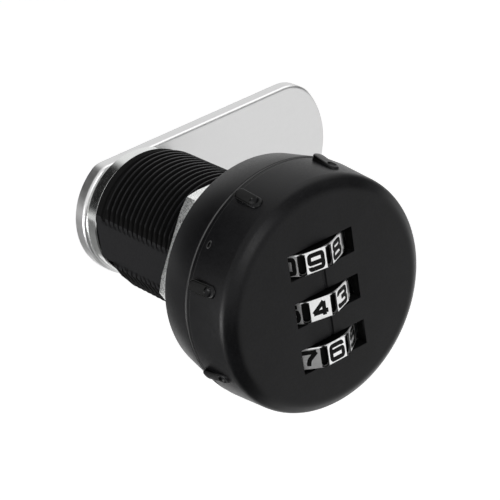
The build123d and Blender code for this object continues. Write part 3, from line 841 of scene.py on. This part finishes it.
# %% Dials and digits
PAD_FROM, PAD_TO = 5.88, 6.10
silver = Finish("dial_silver", metallic=1.0)
from_axle = silver.vector("SUBTRACT", silver.place(), (AXLE_X * MM, AXLE_Y * MM, 0))
reach = silver.length(silver.vector("MULTIPLY", from_axle, (1, 1, 0)))
pad = silver.band(reach, (PAD_FROM - 0.08) * MM, PAD_FROM * MM, PAD_TO * MM, (PAD_TO + 0.03) * MM)
brushed = silver.noise(3000)
bright = silver.blend(brushed, (0.78, 0.78, 0.78), (0.90, 0.90, 0.90))
# Near black off the faces: the slots' black paint, and painted shade on the flat sides.
silver.drive(
    base_color=silver.blend(pad, (0.008, 0.008, 0.008), bright),
    roughness=0.6 - pad * 0.2 + brushed * 0.06,
)
ink = Finish("digit_ink", roughness=0.6, specular_ior_level=0.1)
ink.drive(base_color=ink.blend(ink.noise(5000), (0.002, 0.002, 0.002), (0.008, 0.008, 0.008)))
print("dial and ink finishes ready")

# %% [markdown]
# The pieces inside the lock show when it is taken apart: turned brass sleeves and pin, a grey
# die-cast core and bar, and drawn spring wire. All three finishes are two near colours mixed by a
# noise that also sets the gloss.

# %% Hidden metals
def metal(name, scale, detail, colours, gloss):
    """A bare metal: two near colours and two near glosses, mixed by one noise."""
    finish = Finish(name, metallic=1.0)
    pattern = finish.noise(scale, detail)
    finish.drive(base_color=finish.blend(pattern, *colours),
                 roughness=finish.between(pattern, 0.3, 0.7, *gloss))
    return finish


brass = metal("turned_brass", 2500, 2.0, ((0.60, 0.44, 0.18), (0.74, 0.58, 0.28)), (0.25, 0.4))
casting = metal("die_casting", 1800, 3.0, ((0.36, 0.37, 0.38), (0.48, 0.49, 0.50)), (0.4, 0.6))
spring = metal("spring_steel", 4000, 2.0, ((0.40, 0.40, 0.42), (0.55, 0.55, 0.57)), (0.22, 0.34))
print("hidden metals ready")

# %% [markdown]
# Every node of the part wears one of these finishes, the replaced ones too, so that the solids
# look right when they are seen by themselves.

# %% Dressing the part
WEARS = {
    "knob_cap": paint, "housing": paint, "mounting_nut": zinc, "dial_carrier": casting,
    "cap_screws": zinc, "dial_axle": zinc, "detent_spring": spring, "locking_bar_spring": spring,
    "code_change_spring": spring, "stop_washer": polished, "cam": sheet, "flat_washer": polished,
    "spring_washer": spring, "cam_screw": polished, "locking_bar": casting,
    "code_change_pin": brass,
}
for name in DIALS:
    WEARS[f"dial_{name}"] = silver
    WEARS[f"code_sleeve_{name}"] = brass
    dress(bpy.data.objects[f"digits_{name}"], ink)
for node, finish in WEARS.items():
    dress(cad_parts[node], finish)
dress(nut, zinc)
print(len(WEARS), "CAD nodes dressed")

# %% [markdown]
# The lock hangs over a plain pale floor. The floor glows for the camera and in mirrored and
# transmitted rays, which makes a white ground without more light on the object.

# %% Floor
FLOOR_Z = -0.08
bpy.ops.object.select_all(action="DESELECT")
bpy.ops.mesh.primitive_plane_add(size=4, location=(0, 0, FLOOR_Z))
floor = bpy.context.object
floor.name = "floor"
settle(floor)
ground = Finish("pale_floor", roughness=0.8)
ground.shader.inputs["Base Color"].default_value = (0.8, 0.8, 0.8, 1)
ground.shader.inputs["Emission Strength"].default_value = 0.62


def rays_of(finish, *kinds):
    """1 for light rays of any of these kinds, else 0."""
    path = finish.node("ShaderNodeLightPath").socket.node
    total = Wire(finish, path.outputs[f"Is {kinds[0]} Ray"])
    for kind in kinds[1:]:
        total = total + Wire(finish, path.outputs[f"Is {kind} Ray"])
    return total.sum("MINIMUM", 1.0)


ground.drive(emission_color=rays_of(ground, "Camera", "Glossy", "Transmission"))
dress(floor, ground)
print("floor at", FLOOR_Z)

# %% [markdown]
# Two cards lie just above the floor, where the black surfaces would mirror too much white: dark
# felt in front, grey board behind. The camera doesn't see them and they cast no shadow.

# %% Cards
CARD_SIZE = (0.47, 0.46, 1)
felt = Finish("grey_felt", roughness=1.0)
felt.drive(base_color=felt.blend(felt.noise(60), (0.05, 0.05, 0.05), (0.08, 0.08, 0.08)))
board = Finish("grey_board", roughness=1.0)
board.drive(base_color=board.blend(board.noise(60), (0.42, 0.42, 0.42), (0.50, 0.50, 0.50)))
for name, y, finish in (("front_card", -0.22, felt), ("back_card", 0.26, board)):
    bpy.ops.object.select_all(action="DESELECT")
    bpy.ops.mesh.primitive_plane_add(size=1, location=(-0.25, y, FLOOR_Z + 0.001))
    card = bpy.context.object
    card.name = name
    card.scale = CARD_SIZE
    settle(card)
    card.visible_camera = False
    card.visible_shadow = False
    dress(card, finish)
print("two cards")

# %% [markdown]
# The camera looks down on the lock from its front left, as fitted to the edges in the photograph.
# Its focal length is written in picture widths of 500 pixels.

# %% Camera
camera_data = bpy.data.cameras.new("camera")
camera = bpy.data.objects.new("camera", camera_data)
bpy.context.scene.collection.objects.link(camera)
camera.location = (-0.14713, -0.21648, 0.13539)
camera.rotation_euler = (radians(62.7704), radians(7.9587), radians(-38.0977))
camera_data.sensor_width = 36
camera_data.lens = 2350 / 500 * camera_data.sensor_width
bpy.context.scene.camera = camera
print("camera lens", round(camera_data.lens, 1))

# %% [markdown]
# Three soft boxes light the lock. The large one overhead gives the bright band along the top of
# the cap and the barrel, one in front lights the face and the dials, and a small one low on the
# left lifts the flats and the left side.

# %% Lights
def soft_light(name, place, size, power):
    """A square soft box that faces the lock."""
    data = bpy.data.lights.new(name, "AREA")
    data.size, data.energy = size, power
    lamp = bpy.data.objects.new(name, data)
    lamp.location = place
    lamp.rotation_euler = (-Vector(place)).to_track_quat("-Z", "Y").to_euler()
    bpy.context.scene.collection.objects.link(lamp)


soft_light("overhead", (0.5, -0.05, 0.85), 1.0, 3.1)
soft_light("front_left", (-0.2, -0.65, 0.36), 0.25, 1.1)
soft_light("low_left", (-0.25, 0.03, -0.07), 0.12, 0.65)
print("three lamps")

# %% [markdown]
# The room is white for the camera and in mirrored and transmitted rays, and gives only a weak even
# light otherwise. Black paint and bright metal show their shape by what they mirror, so three soft
# dark areas hang in the room: high behind the lock, above its front, and to its right. They give
# the cap's upper left, the top of the chamfer and its right side their depth.

# %% Surroundings
class Room(Finish):
    """The world's node tree, used through the same helpers as a material's."""

    def __init__(self, world):
        self.tree = world.node_tree
        self.shader = self.tree.nodes["Background"]


world = bpy.data.worlds.new("studio")
bpy.context.scene.world = world
world.use_nodes = True
room = Room(world)
toward = room.node("ShaderNodeTexCoord", out="Generated")


def flag(direction, wide, narrow, depth):
    """What a dark card in one direction leaves: it fades from one angle to a smaller one."""
    along = room.vector("DOT_PRODUCT", toward, Vector(direction).normalized(), out="Value")
    return 1 - room.between(along, cos(radians(wide)), cos(radians(narrow))) * depth


shade = flag((-0.34, 0.85, 0.40), 36, 22, 0.98) * flag((0.5, -0.64, 0.59), 32, 14, 0.8)
shade = shade * flag((0.95, -0.2, 0.1), 40, 14, 0.85)
light = 0.3 + rays_of(room, "Glossy") * 0.7
lit = room.blend(shade * light, (0.0, 0.0, 0.0), (1.0, 1.0, 1.0))
room.drive(color=room.blend(rays_of(room, "Camera", "Transmission"), lit, (1.0, 1.0, 1.0)))
bpy.context.scene.view_settings.view_transform = "Standard"
print("room ready")
